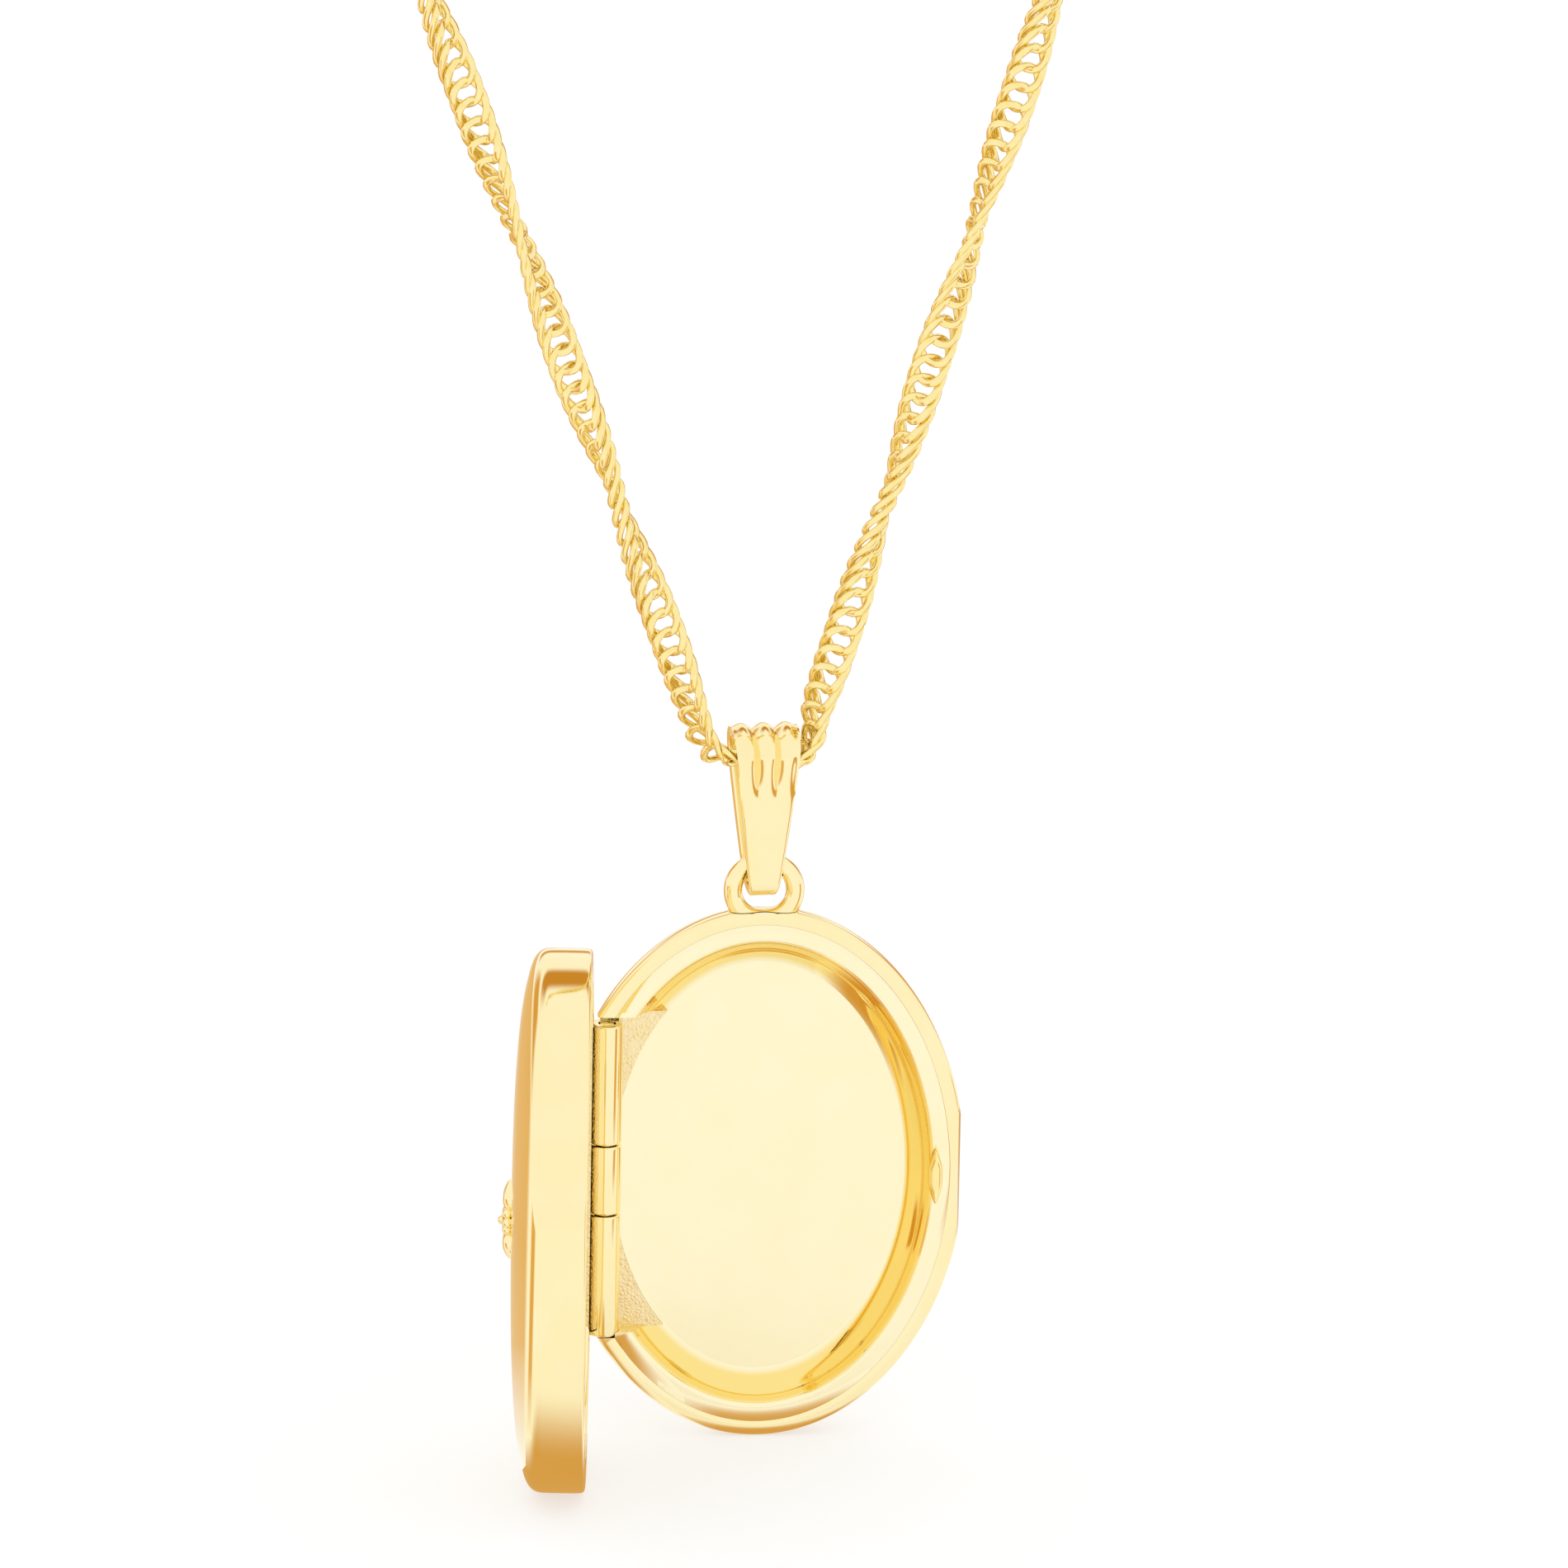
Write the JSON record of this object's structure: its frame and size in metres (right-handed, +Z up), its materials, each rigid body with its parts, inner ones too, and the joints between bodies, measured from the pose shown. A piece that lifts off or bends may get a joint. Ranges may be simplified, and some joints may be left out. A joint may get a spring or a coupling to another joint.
{
  "type": "hinged locket",
  "caption": "Oval locket standing open on its hinge, hanging by a ring and a ribbed bail from a flat twisted chain with a spring ring clasp.",
  "frame": {"origin": "midway between the jump rings at the chain's two upper ends, from which everything hangs", "axes": "+Z up along the hanging locket, -Y towards the open side of the rear half, +X to the side away from the hinge"},
  "size_m": [0.0355, 0.0178, 0.0771],
  "materials": {
    "polished_gold": "polished yellow gold",
    "mirror_gold": "mirror polished deep yellow gold",
    "chain_gold": "polished gold wire",
    "solder_gold": "matt gold, roughened by soldering",
    "spring_steel": "drawn wire"
  },
  "bodies": {
    "chain_ends": {"chain": "chain_gold", "clasp_jump_ring": "chain_gold", "tag_jump_ring": "chain_gold", "clasp_body": "chain_gold", "clasp_spring": "spring_steel", "chain_tag": "chain_gold"},
    "clasp_slider": {"clasp_bolt": "chain_gold"},
    "bail_loop": {"bail": "chain_gold"},
    "locket_back": {"rear_shell": "polished_gold", "rear_tray": "mirror_gold", "rear_hinge_seat": "solder_gold", "hinge_knuckle_top": "polished_gold", "hinge_knuckle_bottom": "polished_gold", "hinge_pin": "polished_gold", "hanging_ring": "chain_gold", "catch_tongue": "polished_gold"},
    "locket_front": {"front_shell": "polished_gold", "front_tray": "mirror_gold", "front_hinge_seat": "solder_gold", "hinge_knuckle_middle": "polished_gold", "catch_keeper": "solder_gold", "ornament_leaf_top": "polished_gold", "ornament_leaf_bottom": "polished_gold", "ornament_flower": "polished_gold", "ornament_bead": "polished_gold"}
  },
  "joints": [
    {"name": "bail_swing", "type": "hinge", "parent": "chain_ends", "child": "bail_loop", "pos_m": [0.0017, 0, -0.03824], "axis": [1, 0, 0], "range_deg": [-75, 75]},
    {"name": "locket_swing", "type": "hinge", "parent": "bail_loop", "child": "locket_back", "pos_m": [0.00182, 0, -0.04303], "axis": [1, 0, 0], "range_deg": [-25, 25]},
    {"name": "cover_hinge", "type": "hinge", "parent": "locket_back", "child": "locket_front", "pos_m": [-0.00495, -0.00004, -0.05727], "axis": [0, 0, 1], "range_deg": [-30, 95]},
    {"name": "clasp_slide", "type": "hinge", "parent": "chain_ends", "child": "clasp_slider", "pos_m": [-0.01646, 0, 0.00443], "axis": [0, 1, 0], "range_deg": [0, 48], "stiffness_Nm_per_rad": 0.0005}
  ]
}
